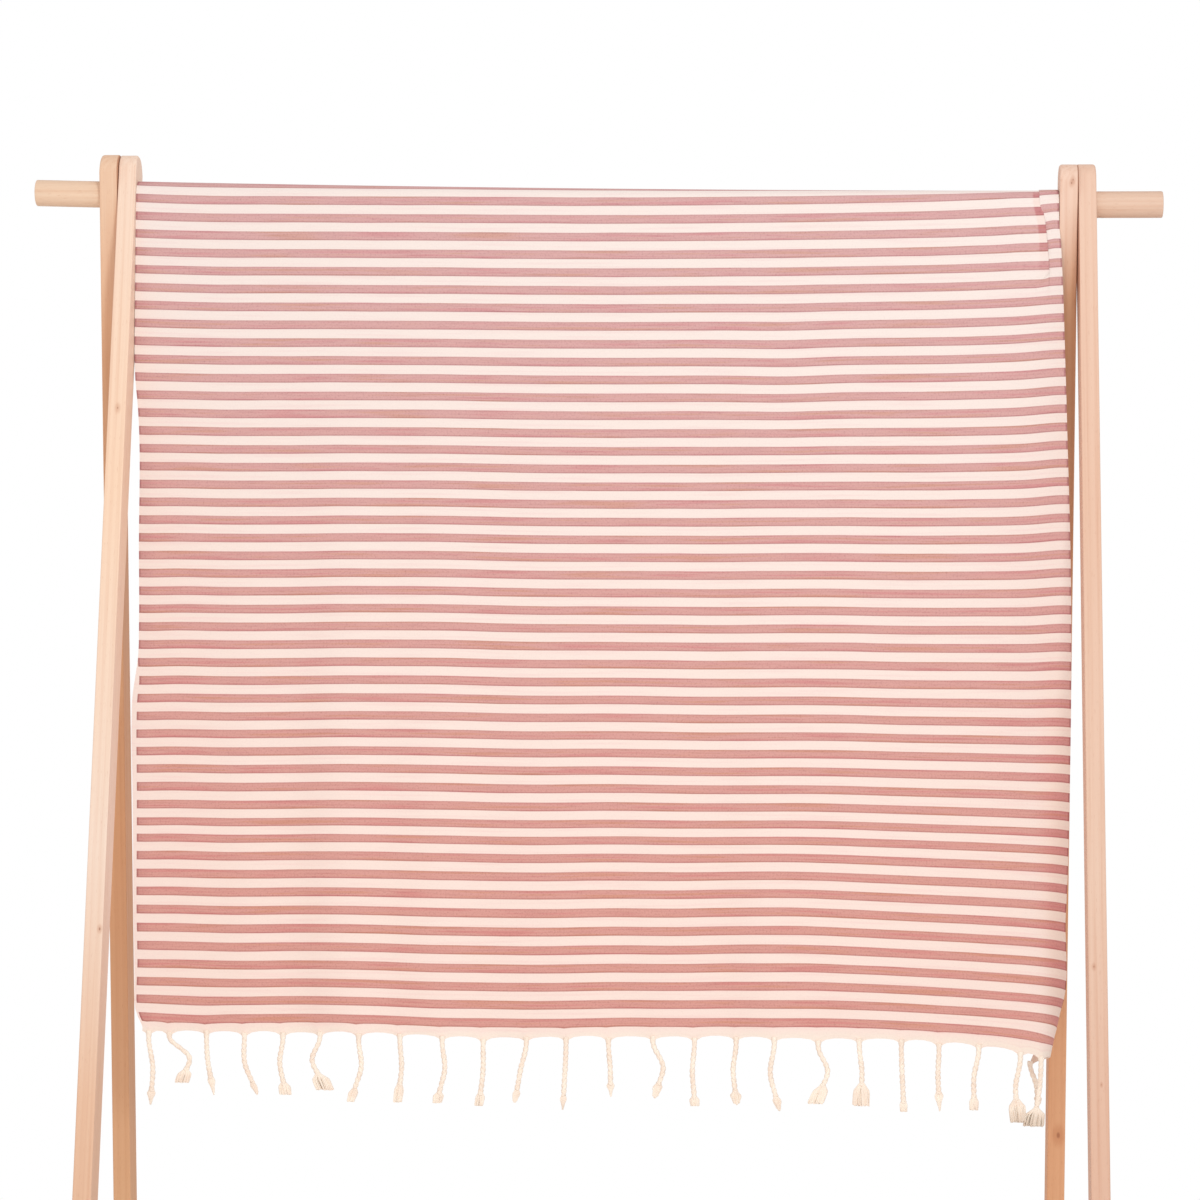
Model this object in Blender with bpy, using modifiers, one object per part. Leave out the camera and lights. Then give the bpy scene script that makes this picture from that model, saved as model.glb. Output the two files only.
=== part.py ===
# A striped hammam towel hung over the round rail of a wooden A-frame rack.
# Metres, +Z up. X runs along the rail, the towel's long side hangs in front at -Y,
# and the origin is on the floor under the middle of the rack.

import math

import bmesh
import bpy
import numpy as np

COLLECTION = "hammam_towel_on_rack"
GAP = 0.0004                  # between pieces that touch
WELD = 0.00001                # points closer than this are one

# Rail
RAIL_HEIGHT = 1.398           # axis above the floor, at the chord's middle
RAIL_LENGTH = 1.220
RAIL_RADIUS = 0.01425
RAIL_FALL = 0.0113            # drop per metre towards +X
RAIL_SAG = 0.003              # mid-span, under its own weight and the towel's
RAIL_STATIONS = 13
RAIL_END_EASE = 0.0015
RAIL_SIDE_STEPS = 10          # bevel resolution, 24 sides

# Legs
LEG_THICK = 0.0193            # along X
LEG_WIDE = 0.040              # along Y
LEG_ABOVE_RAIL = 0.0430       # from the rail's axis to the leg's top end
LEG_GAP = 0.0006              # between the two legs of a frame
BORE_OVERRUN = 0.1            # of the bore's cutter past the rail
LEG_EDGE = 0.0012
LEG_TOP_ROUND = 0.0197        # each half of the leg's half-round top end
LEG_TOP_STEPS = 6
LEFT_FRAME_INNER = -0.4981    # X of the face next to the towel
RIGHT_FRAME_INNER = 0.4990
LEFT_SPLAY = math.radians(8.9)
RIGHT_SPLAY = math.radians(10.2)
HALF_SPAN = 0.518             # rail's supports either side of the middle

# Towel
CLOTH_THICK = 0.0012
CLOTH_COLUMNS = 36
FRONT_ROWS = 16
OVER_RAIL_ROWS = 11
BACK_ROWS = 12
WRAP_RADIUS = RAIL_RADIUS + GAP + CLOTH_THICK / 2
FRONT_DROP = 0.900            # from the rail's axis to the front hem, nominal
BACK_DROP = 0.689             # from the rail's axis to the back hem
BACK_LEFT = -0.4970
BACK_RIGHT = 0.4974
CURL_WIDTH = 0.055            # of the right-hand edge, which curls to the back
CURL_COLUMNS = 5
PLEAT_AT = 0.978              # across the cloth, 0 left to 1 right
PLEAT_HALF_WIDTH = 0.011
PLEAT_RISE = 0.0025
PLEAT_LENGTH = 0.11

# Depth below the rail's axis, and where the front sheet's two edges hang there
# (the right one before it curls).
FRONT_EDGES = [
    # below, left X, right X
    (0.000, -0.4974, 0.4976),
    (0.036, -0.4971, 0.4980),
    (0.048, -0.4969, 0.5000),
    (0.064, -0.4965, 0.5014),
    (0.085, -0.4959, 0.5026),
    (0.220, -0.4932, 0.5068),
    (0.390, -0.4896, 0.5105),
    (0.650, -0.4876, 0.5110),
    (0.770, -0.4866, 0.5122),
    (0.900, -0.4808, 0.5268),
]

# Depth below the rail's axis and the angle through which the right edge has turned back.
CURL_TURNS = [
    # below, radians
    (0.440, 0.00),
    (0.640, 0.45),
    (0.760, 0.80),
    (0.860, 1.50),
    (0.920, 3.50),
]

# Front hem: place across the cloth, and how far it hangs below the rail's nominal height.
FRONT_HEM = [
    # across, below
    (0.00, 0.8985),
    (0.10, 0.8991),
    (0.22, 0.8974),
    (0.37, 0.9018),
    (0.48, 0.8991),
    (0.62, 0.8978),
    (0.82, 0.8991),
    (0.90, 0.9052),
    (0.955, 0.9130),
    (1.00, 0.9230),
]

# Soft folds of the hanging sheet: waves across it, their height at the hem, and phase.
FRONT_FOLDS = [
    # waves, height, phase
    (4.5, 0.0018, 0.6),
    (8.7, 0.0022, 2.1),
    (11.3, 0.0012, 4.4),
]
BACK_FOLDS = [
    # waves, height, phase
    (3.2, 0.0025, 1.2),
    (7.1, 0.0018, 3.0),
]
LEFT_SWING_BACK = 0.012       # of the lower left corner
LEFT_SWING_REACH = 0.3        # across the cloth
RIGHT_SWING_FRONT = 0.006     # of the lower right side, before its curl
RIGHT_SWING_START = 0.6
RIGHT_SWING_REACH = 0.3
BACK_SWING = 0.004            # of the back hem, off the plumb

# Fringe
STRIP_HEIGHT = 0.0036
ROOT_IN_STRIP = 0.0016
STRAND_RADIUS = 0.0028
KNOT_RADIUS = 0.0042
HEM_WIDTH = 1.000             # that the strands' roots are measured along

# Front strands from left to right, in millimetres: how far along the hem each is rooted,
# how far it drifts to the right at half its length and at its end, how far it hangs
# down, and how wide its tuft is.
FRONT_STRANDS = [
    # root, middle, end, drop, tuft
    (6, 4, 2, 85, 9),
    (28, 20, 12, 60, 13),
    (69, 2, 8, 72, 9),
    (109, 1, 15, 70, 9),
    (151, -3, 4, 70, 13),
    (191, -8, 6, 64, 13),
    (234, 3, -8, 76, 10),
    (277, 2, -2, 76, 9),
    (322, 3, -5, 75, 8),
    (365, 0, -4, 74, 8),
    (411, -6, -12, 74, 8),
    (454, -1, -3, 81, 8),
    (499, 2, 3, 67, 8),
    (546, 11, 2, 70, 9),
    (590, -2, 1, 76, 9),
    (634, -3, 1, 76, 8),
    (674, -4, 6, 80, 8),
    (720, 8, -3, 67, 13),
    (763, 2, 2, 73, 14),
    (807, 1, 3, 79, 8),
    (846, -1, 1, 76, 8),
    (887, -5, -5, 73, 9),
    (930, -5, -3, 77, 12),
    (956, -3, -6, 72, 15),
    (994, 3, 6, 60, 10),
]

# Along a strand: share of its drop, thickness as a multiple of the cord's radius,
# and how much of its tuft's width shows there.
STRAND_PROFILE = [
    # share, cord, tuft
    (0.00, 0.80, 0.0),
    (0.08, 0.90, 0.0),
    (0.30, 1.00, 0.0),
    (0.55, 1.00, 0.0),
    (0.74, 1.05, 0.0),
    (0.80, KNOT_RADIUS / STRAND_RADIUS, 0.0),
    (0.86, 0.90, 0.0),
    (0.94, 0.00, 0.9),
    (1.00, 0.00, 0.55),
]

BEECH = (0.80, 0.56, 0.39, 1.0)
ROSE = (0.72, 0.42, 0.40, 1.0)
CREAM = (0.90, 0.82, 0.72, 1.0)


def clear_scene():
    for item in list(bpy.data.objects):
        bpy.data.objects.remove(item, do_unlink=True)


def new_collection(name, hidden=False):
    group = bpy.data.collections.new(name)
    bpy.context.scene.collection.children.link(group)
    group.hide_render = hidden
    return group


def new_material(name, colour, roughness):
    made = bpy.data.materials.new(name)
    made.use_nodes = True
    shader = made.node_tree.nodes["Principled BSDF"]
    shader.inputs["Base Color"].default_value = colour
    shader.inputs["Roughness"].default_value = roughness
    shader.inputs["Metallic"].default_value = 0.0
    return made


def new_object(name, data, group, look=None):
    made = bpy.data.objects.new(name, data)
    group.objects.link(made)
    if look:
        data.materials.append(look)
    return made


def through(rows, at, column=1):
    # A smooth curve through a table's rows, level beyond its ends.
    places = [row[0] for row in rows]
    values = [row[column] for row in rows]
    if at <= places[0]:
        return values[0]
    if at >= places[-1]:
        return values[-1]
    left = max(index for index, place in enumerate(places) if place <= at)
    slopes = np.gradient(values, places)
    width = places[left + 1] - places[left]
    part = (at - places[left]) / width
    rise = values[left + 1] - values[left]
    start = slopes[left] * width
    finish = slopes[left + 1] * width
    return (values[left] + part * start
            + part * part * (3 * rise - 2 * start - finish)
            + part ** 3 * (start + finish - 2 * rise))


def ease(part):
    part = min(max(part, 0.0), 1.0)
    return part * part * (3 - 2 * part)


def rail_z(x):
    return RAIL_HEIGHT - RAIL_FALL * x + RAIL_SAG * ((x / HALF_SPAN) ** 2 - 1)


# ---- rack ----

def rail_curve(name, radius, length, group):
    curve = bpy.data.curves.new(name, "CURVE")
    curve.dimensions = "3D"
    curve.bevel_depth = radius
    curve.bevel_resolution = RAIL_SIDE_STEPS
    curve.use_fill_caps = True
    half = length / 2
    stations = list(np.linspace(-half + RAIL_END_EASE, half - RAIL_END_EASE, RAIL_STATIONS))
    stations = [-half] + stations + [half]
    spline = curve.splines.new("POLY")
    spline.points.add(len(stations) - 1)
    for point, x in zip(spline.points, stations):
        point.co = (x, 0.0, rail_z(x), 1.0)
    for end in (spline.points[0], spline.points[-1]):
        end.radius = 1 - RAIL_END_EASE / radius
    return new_object(name, curve, group)


def curve_to_mesh(source, group):
    # The same shape as a mesh, its caps welded on.
    bpy.context.view_layer.update()
    evaluated = source.evaluated_get(bpy.context.evaluated_depsgraph_get())
    mesh = bpy.data.meshes.new_from_object(evaluated)
    work = bmesh.new()
    work.from_mesh(mesh)
    bmesh.ops.remove_doubles(work, verts=work.verts, dist=WELD)
    bmesh.ops.recalc_face_normals(work, faces=work.faces)
    work.to_mesh(mesh)
    work.free()
    name = source.name
    place = source.matrix_world.copy()
    bpy.data.objects.remove(source)
    made = new_object(name, mesh, group)
    made.name = name
    made.matrix_world = place
    return made


def make_rail(group, look):
    rail = curve_to_mesh(rail_curve("rail", RAIL_RADIUS, RAIL_LENGTH, group), group)
    rail.data.materials.clear()
    rail.data.materials.append(look)
    rail.data.shade_smooth()
    rail.data.set_sharp_from_angle(angle=math.radians(35))
    return rail


def make_bore_cutter(group):
    bore = curve_to_mesh(rail_curve("bore", RAIL_RADIUS + GAP, RAIL_LENGTH + BORE_OVERRUN, group), group)
    bore.display_type = "WIRE"
    bore.hide_render = True
    return bore


def make_floor_cutter(group):
    deep = 0.3
    bpy.ops.mesh.primitive_cube_add(size=1.0, location=(0.0, 0.0, -deep / 2))
    slab = bpy.context.active_object
    slab.name = "floor_slab"
    slab.scale = (RAIL_LENGTH, RAIL_LENGTH, deep)
    bpy.ops.object.transform_apply(location=False, rotation=False, scale=True)
    move_to(slab, group)
    slab.display_type = "WIRE"
    slab.hide_render = True
    return slab


def move_to(item, group):
    for old in list(item.users_collection):
        old.objects.unlink(item)
    group.objects.link(item)


def make_leg(name, inner_x, splay, cutters, group, look):
    # A straight board with a half-round top, turned about the rail's axis and bored for the
    # rail, its foot cut level.
    centre_x = inner_x + LEG_THICK / 2
    axis_z = rail_z(centre_x)
    below = axis_z / math.cos(splay) + LEG_WIDE
    length = LEG_ABOVE_RAIL + below
    work = bmesh.new()
    bmesh.ops.create_cube(work, size=1.0)
    bmesh.ops.scale(work, verts=work.verts, vec=(LEG_THICK, LEG_WIDE, length))
    bmesh.ops.translate(work, verts=work.verts, vec=(0, 0, LEG_ABOVE_RAIL - length / 2))
    top = [edge for edge in work.edges
           if all(vert.co.z > 0 for vert in edge.verts)
           and abs(edge.verts[0].co.y - edge.verts[1].co.y) < WELD]
    bmesh.ops.bevel(work, geom=top, offset=LEG_TOP_ROUND, segments=LEG_TOP_STEPS, profile=0.5, affect="EDGES")
    mesh = bpy.data.meshes.new(name)
    work.to_mesh(mesh)
    work.free()
    leg = new_object(name, mesh, group, look)
    leg.location = (centre_x, 0.0, axis_z)
    leg.rotation_euler = (splay, 0.0, 0.0)
    eased = leg.modifiers.new("eased_edges", "BEVEL")
    eased.width = LEG_EDGE
    eased.segments = 2
    eased.limit_method = "ANGLE"
    eased.angle_limit = math.radians(60)
    for cutter in cutters:
        cut = leg.modifiers.new("cut_" + cutter.name, "BOOLEAN")
        cut.operation = "DIFFERENCE"
        cut.solver = "EXACT"
        cut.object = cutter
    return leg


def make_rack(group, cutter_group):
    wood = new_material("beech", BEECH, 0.55)
    make_rail(group, wood)
    cutters = [make_bore_cutter(cutter_group), make_floor_cutter(cutter_group)]
    step = LEG_THICK + LEG_GAP
    inner_left = LEFT_FRAME_INNER - LEG_THICK
    # A leg turned by a negative angle has its foot in front, at -Y.
    make_leg("leg_left_front", inner_left, -LEFT_SPLAY, cutters, group, wood)
    make_leg("leg_left_back", inner_left - step, LEFT_SPLAY, cutters, group, wood)
    make_leg("leg_right_back", RIGHT_FRAME_INNER, RIGHT_SPLAY, cutters, group, wood)
    make_leg("leg_right_front", RIGHT_FRAME_INNER + step, -RIGHT_SPLAY, cutters, group, wood)


# ---- towel ----

def wave_sum(waves, across):
    return sum(height * math.sin(2 * math.pi * count * across + phase)
               for count, height, phase in waves)


def pleat(across, along):
    # A small ridge near the right edge, from the rail down to where it dies out.
    near = max(0.0, 1 - abs(across - PLEAT_AT) / PLEAT_HALF_WIDTH)
    return PLEAT_RISE * near * (1 - ease(along / PLEAT_LENGTH))


def front_point(across, share):
    # share 0 at the hem, 1 at the level of the rail's axis
    x_top = FRONT_EDGES[0][1] + across * (FRONT_EDGES[0][2] - FRONT_EDGES[0][1])
    top = rail_z(x_top)
    hem = RAIL_HEIGHT - through(FRONT_HEM, across)
    z = hem + share * (top - hem)
    below = top - z
    left = through(FRONT_EDGES, below, 1)
    right = through(FRONT_EDGES, below, 2)
    flat_x = left + across * (right - left)
    grow = ease(below / FRONT_DROP)
    y = -WRAP_RADIUS - wave_sum(FRONT_FOLDS, across) * grow - pleat(across, below)
    y += LEFT_SWING_BACK * grow * (1 - ease(across / LEFT_SWING_REACH))
    y -= RIGHT_SWING_FRONT * grow * ease((across - RIGHT_SWING_START) / RIGHT_SWING_REACH)
    turn = through(CURL_TURNS, below)
    past = flat_x - (right - CURL_WIDTH)
    if turn > 0 and past > 0:
        radius = CURL_WIDTH / turn
        angle = past / radius
        flat_x = right - CURL_WIDTH + radius * math.sin(angle)
        y += radius * (1 - math.cos(angle))
    return (flat_x, y, z)


def over_point(across, share):
    # share 0 at the front of the rail, 1 at its back
    x_front = FRONT_EDGES[0][1] + across * (FRONT_EDGES[0][2] - FRONT_EDGES[0][1])
    x_back = BACK_LEFT + across * (BACK_RIGHT - BACK_LEFT)
    x = x_front + share * (x_back - x_front)
    angle = math.pi * share
    reach = WRAP_RADIUS + pleat(across, 0)
    return (x, -reach * math.cos(angle), rail_z(x) + reach * math.sin(angle))


def back_point(across, share):
    # share 0 at the level of the rail's axis, 1 at the back hem
    x = BACK_LEFT + across * (BACK_RIGHT - BACK_LEFT)
    below = share * BACK_DROP
    y = WRAP_RADIUS + pleat(across, below)
    y += (BACK_SWING + wave_sum(BACK_FOLDS, across)) * ease(below / BACK_DROP)
    return (x, y, rail_z(x) - below)


def column_places():
    start = 1 - CURL_WIDTH
    flat = list(np.linspace(0, start, CLOTH_COLUMNS, endpoint=False))
    return flat + list(np.linspace(start, 1, CURL_COLUMNS))


def sheet_mesh(name, columns, rows, place):
    # A flat grid whose points are moved to where place() hangs each column and row.
    work = bmesh.new()
    bmesh.ops.create_grid(work, x_segments=len(columns) - 1, y_segments=len(rows) - 1, size=0.5)
    for vert in work.verts:
        column = round((vert.co.x + 0.5) * (len(columns) - 1))
        row = round((vert.co.y + 0.5) * (len(rows) - 1))
        vert.co = place(columns[column], rows[row])
    mesh = bpy.data.meshes.new(name)
    work.to_mesh(mesh)
    work.free()
    return mesh


def thicken(sheet):
    shell = sheet.modifiers.new("thickness", "SOLIDIFY")
    shell.thickness = CLOTH_THICK
    shell.offset = 0.0
    shell.use_even_offset = True
    shell.use_rim = True


def cloth_point(across, along):
    # along is 0 at the front hem, 1 and 2 at the rail's front and back, 3 at the back hem
    if along < 1:
        return front_point(across, along)
    if along <= 2:
        return over_point(across, along - 1)
    return back_point(across, along - 2)


def make_cloth(group):
    rows = list(np.linspace(0, 1, FRONT_ROWS, endpoint=False))
    rows += list(np.linspace(1, 2, OVER_RAIL_ROWS))
    rows += list(np.linspace(2, 3, BACK_ROWS + 1)[1:])
    mesh = sheet_mesh("towel_cloth", column_places(), rows, cloth_point)
    cloth = new_object("towel_cloth", mesh, group, new_material("woven_cotton", ROSE, 0.95))
    thicken(cloth)
    return cloth


def strand_points(root, middle, end, drop):
    # Down from the root, drifting sideways along a smooth curve.
    drift = [(0.0, 0.0), (0.10, 0.0), (0.50, middle), (0.80, 0.4 * middle + 0.6 * end), (1.0, end)]
    x, y, z = root
    return [(x + through(drift, share), y, z - share * drop) for share, cord, tuft in STRAND_PROFILE]


def below_front_hem(across, distance):
    return front_point(across, -distance / FRONT_DROP)


def below_back_hem(across, distance):
    return back_point(across, 1 + distance / BACK_DROP)


def strand_curve(name, below_hem, strands, group):
    curve = bpy.data.curves.new(name, "CURVE")
    curve.dimensions = "3D"
    curve.bevel_depth = STRAND_RADIUS
    curve.bevel_resolution = 0
    curve.use_fill_caps = True
    for along, middle, end, drop, tuft in strands:
        root = below_hem(along / 1000 / HEM_WIDTH, GAP + ROOT_IN_STRIP)
        points = strand_points(root, middle / 1000, end / 1000, drop / 1000)
        spline = curve.splines.new("POLY")
        spline.points.add(len(points) - 1)
        for point, place, (share, cord, spread) in zip(spline.points, points, STRAND_PROFILE):
            point.co = (*place, 1.0)
            point.radius = cord + spread * tuft / 2000 / STRAND_RADIUS
    return new_object(name, curve, group)


def make_fringe(name, below_hem, strands, group, cutter_group, look):
    # A narrow strip parted from the hem, with the strands' roots joined into it.
    mesh = sheet_mesh(name, column_places(), [GAP + STRIP_HEIGHT, GAP], below_hem)
    strip = new_object(name, mesh, group, look)
    thicken(strip)
    cords = curve_to_mesh(strand_curve(name + "_strands", below_hem, strands, cutter_group), cutter_group)
    cords.display_type = "WIRE"
    cords.hide_render = True
    joined = strip.modifiers.new("strands", "BOOLEAN")
    joined.operation = "UNION"
    joined.solver = "EXACT"
    joined.object = cords
    return strip


def make_towel(group, cutter_group):
    make_cloth(group)
    yarn = new_material("twisted_yarn", CREAM, 0.95)
    make_fringe("fringe_front", below_front_hem, FRONT_STRANDS, group, cutter_group, yarn)
    back_strands = [(1000 * HEM_WIDTH - along, *rest) for along, *rest in FRONT_STRANDS]
    make_fringe("fringe_back", below_back_hem, back_strands, group, cutter_group, yarn)


clear_scene()
parts = new_collection(COLLECTION)
cutting = new_collection("cutters", hidden=True)
make_rack(parts, cutting)
make_towel(parts, cutting)
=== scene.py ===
# Striped hammam towel over the round rail of its wooden A-frame rack; sizes are in metres
import bisect
import math
import random

import bmesh
import bpy
import numpy as np
from mathutils import Matrix, Vector


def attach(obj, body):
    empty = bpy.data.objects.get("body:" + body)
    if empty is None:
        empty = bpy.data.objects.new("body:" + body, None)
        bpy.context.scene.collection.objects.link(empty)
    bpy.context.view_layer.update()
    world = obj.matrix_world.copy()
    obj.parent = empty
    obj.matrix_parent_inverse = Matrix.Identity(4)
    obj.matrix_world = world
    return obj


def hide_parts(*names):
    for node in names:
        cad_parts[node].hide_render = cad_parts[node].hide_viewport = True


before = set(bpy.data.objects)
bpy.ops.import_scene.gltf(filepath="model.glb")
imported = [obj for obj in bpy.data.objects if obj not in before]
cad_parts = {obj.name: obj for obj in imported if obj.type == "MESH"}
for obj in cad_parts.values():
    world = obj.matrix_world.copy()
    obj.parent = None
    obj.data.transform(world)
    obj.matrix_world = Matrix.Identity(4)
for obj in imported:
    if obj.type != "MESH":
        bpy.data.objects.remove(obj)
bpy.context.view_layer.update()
scene = bpy.context.scene
random.seed(7)
tiny = 1e-5       # for comparing places
hardEdge = 40     # degrees, from which an edge of the wood stays sharp
print("frame loaded, nodes:", len(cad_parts))


def ease(part):
    part = min(max(part, 0.0), 1.0)
    return part * part * (3 - 2 * part)


def smoothLine(rows, column=1):
    # a smooth curve through the rows of a table, level past its ends
    places = [row[0] for row in rows]
    values = [row[column] for row in rows]
    slopes = np.gradient(values, places)

    def read(at):
        if at <= places[0]:
            return values[0]
        if at >= places[-1]:
            return values[-1]
        left = bisect.bisect_right(places, at) - 1
        width = places[left + 1] - places[left]
        part = (at - places[left]) / width
        rise = values[left + 1] - values[left]
        start, finish = slopes[left] * width, slopes[left + 1] * width
        return (values[left] + part * start + part * part * (3 * rise - 2 * start - finish)
                + part ** 3 * (start + finish - 2 * rise))

    return read


def clearSelection():
    if bpy.context.object and bpy.context.object.mode != "OBJECT":
        bpy.ops.object.mode_set(mode="OBJECT")
    bpy.ops.object.select_all(action="DESELECT")


def pickPiece(piece):
    clearSelection()
    piece.select_set(True)
    bpy.context.view_layer.objects.active = piece


def newPiece(name):
    # names what was just added, and puts its place and turn into its points
    piece = bpy.context.object
    piece.name = name
    bpy.ops.object.transform_apply(location=True, rotation=True, scale=True)
    return piece


def editMode(piece):
    # opens the piece with nothing selected, and gives its editing mesh
    pickPiece(piece)
    bpy.ops.object.mode_set(mode="EDIT")
    bpy.ops.mesh.select_all(action="DESELECT")
    return bmesh.from_edit_mesh(piece.data)


def selectEdges(piece, mesh, wanted):
    bpy.ops.mesh.select_mode(type="EDGE")
    for edge in mesh.edges:
        edge.select_set(bool(wanted(edge)))
    bmesh.update_edit_mesh(piece.data)


def modify(piece, kind, **settings):
    # adds a modifier with these settings, and applies it
    pickPiece(piece)
    modifier = piece.modifiers.new(kind.lower(), kind)
    for name, value in settings.items():
        setattr(modifier, name, value)
    bpy.ops.object.modifier_apply(modifier=modifier.name)


def smoothPiece(piece, degrees):
    pickPiece(piece)
    bpy.ops.object.shade_smooth_by_angle(angle=math.radians(degrees))


# the camera stands where the picture was taken from
cameraLook = {
    "place": (0.22913, -4.00916, 0.74182),
    "turnLeft": 3.145, "tiltUp": 3.172, "roll": 0.454,   # degrees
    "lens": 112.17, "sensor": 36,
}


def placeCamera():
    look = cameraLook
    bpy.ops.object.camera_add(location=look["place"])
    camera = bpy.context.object
    camera.name = "photoCamera"
    camera.data.lens = look["lens"]
    camera.data.sensor_width = look["sensor"]
    turned = (Matrix.Rotation(math.radians(look["turnLeft"]), 4, "Z")
              @ Matrix.Rotation(math.radians(90 + look["tiltUp"]), 4, "X")
              @ Matrix.Rotation(math.radians(look["roll"]), 4, "Z"))
    camera.matrix_world = Matrix.Translation(look["place"]) @ turned
    scene.camera = camera


studio = {
    "wallSeen": (1.0, 1.0, 1.0), "wallGlow": (0.770, 0.700, 0.675),   # white as seen, warm as it lights
    "floorRadius": 2.3, "floorSides": 96, "floorDrop": 0.0005,
}
# the key, in front and a little to the right, throws each front leg's shadow on the leg behind it
lamps = [
    {"name": "keyLamp", "place": (0.95, -3.05, 2.5), "aim": (0.0, 0.0, 1.0), "size": 0.7,
     "power": 38, "tone": (0.84, 0.97, 1.0)},
    {"name": "bounceLamp", "place": (-0.3, -2.4, 0.25), "aim": (0.0, 0.0, 0.6), "size": 1.0,
     "power": 9, "tone": (1.0, 0.80, 0.66)},
]


def addLamp(row):
    bpy.ops.object.light_add(type="AREA", location=row["place"])
    lamp = bpy.context.object
    lamp.name = row["name"]
    lamp.data.size = row["size"]
    lamp.data.energy = row["power"]
    lamp.data.color = row["tone"]
    facing = Vector(row["aim"]) - Vector(row["place"])
    lamp.rotation_euler = facing.to_track_quat("-Z", "Y").to_euler()
    lamp.visible_camera = False


def lightStudio():
    world = bpy.data.worlds.new("whiteStudio")
    scene.world = world
    world.use_nodes = True
    tree = world.node_tree
    glow = tree.nodes["Background"]
    glow.inputs["Color"].default_value = (*studio["wallGlow"], 1)
    seen = tree.nodes.new("ShaderNodeBackground")
    seen.inputs["Color"].default_value = (*studio["wallSeen"], 1)
    ray = tree.nodes.new("ShaderNodeLightPath")
    mix = tree.nodes.new("ShaderNodeMixShader")
    tree.links.new(ray.outputs["Is Camera Ray"], mix.inputs[0])
    tree.links.new(glow.outputs[0], mix.inputs[1])
    tree.links.new(seen.outputs[0], mix.inputs[2])
    tree.links.new(mix.outputs[0], tree.nodes["World Output"].inputs["Surface"])
    for lamp in lamps:
        addLamp(lamp)
    scene.view_settings.view_transform = "Standard"


def layFloor():
    clearSelection()
    bpy.ops.mesh.primitive_circle_add(vertices=studio["floorSides"], radius=studio["floorRadius"],
                                      fill_type="NGON", location=(0, 0, -studio["floorDrop"]))
    floor = newPiece("studioFloor")
    floor.data.materials.append(floorFinish())


def tone(red, green, blue):
    # a screen colour, 0 to 255, as the shader takes it
    def light(value):
        value /= 255
        return value / 12.92 if value <= 0.04045 else ((value + 0.055) / 1.055) ** 2.4
    return (light(red), light(green), light(blue), 1.0)


class Finish:
    # one material and short ways to add its nodes
    def __init__(self, name, roughness, sheen=0.0, specular=0.5):
        self.material = bpy.data.materials.new(name)
        self.material.use_nodes = True
        self.tree = self.material.node_tree
        self.shader = self.tree.nodes["Principled BSDF"]
        self.shader.inputs["Roughness"].default_value = roughness
        self.shader.inputs["Sheen Weight"].default_value = sheen
        self.shader.inputs["Specular IOR Level"].default_value = specular

    def put(self, socket, value):
        if isinstance(value, bpy.types.NodeSocket):
            self.tree.links.new(value, socket)
        else:
            socket.default_value = value

    def node(self, kind, inputs=(), output=0, **settings):
        made = self.tree.nodes.new(kind)
        for name, value in settings.items():
            setattr(made, name, value)
        for key, value in dict(inputs).items():
            self.put(made.inputs[key], value)
        return made.outputs[output]

    def ownPlace(self):
        # the piece's own coordinates
        return self.node("ShaderNodeTexCoord", output=3)

    def axis(self, place, number):
        return self.node("ShaderNodeSeparateXYZ", {0: place}, output=number)

    def maths(self, operation, first, second=0.0):
        return self.node("ShaderNodeMath", {0: first, 1: second}, operation=operation)

    def plus(self, first, *others):
        for other in others:
            first = self.maths("ADD", first, other)
        return first

    def minus(self, first, second):
        return self.maths("SUBTRACT", first, second)

    def times(self, first, *others):
        for other in others:
            first = self.maths("MULTIPLY", first, other)
        return first

    def vector(self, operation, first, second=(0, 0, 0)):
        return self.node("ShaderNodeVectorMath", {0: first, 1: second}, operation=operation)

    def span(self, value, low, high, toLow=0.0, toHigh=1.0, smooth=True):
        return self.node("ShaderNodeMapRange", {0: value, 1: low, 2: high, 3: toLow, 4: toHigh},
                         interpolation_type="SMOOTHSTEP" if smooth else "LINEAR")

    def noise(self, place, scale, detail=2.0, rough=0.5):
        # the scale is one number, or one for each axis
        if isinstance(scale, tuple):
            place, scale = self.vector("MULTIPLY", place, scale), 1.0
        return self.node("ShaderNodeTexNoise", {"Vector": place, "Scale": scale, "Detail": detail,
                                                "Roughness": rough})

    def blend(self, share, first, second, blendType="MIX"):
        made = self.tree.nodes.new("ShaderNodeMix")
        made.data_type = "RGBA"
        made.blend_type = blendType
        for number, value in ((0, share), (6, first), (7, second)):
            self.put(made.inputs[number], value)
        return made.outputs[2]

    def tint(self, share, colour, by):
        return self.blend(share, colour, by, "MULTIPLY")

    def colour(self, value):
        self.put(self.shader.inputs["Base Color"], value)

    def bump(self, height, strength, distance):
        self.put(self.shader.inputs["Normal"], self.node(
            "ShaderNodeBump", {"Height": height, "Strength": strength, "Distance": distance}))


def floorFinish():
    finish = Finish("paleFloor", 0.7)
    cloud = finish.noise(finish.ownPlace(), 3.0, 3.0)
    finish.colour(finish.blend(cloud, tone(238, 236, 234), tone(243, 242, 240)))
    return finish.material


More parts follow.
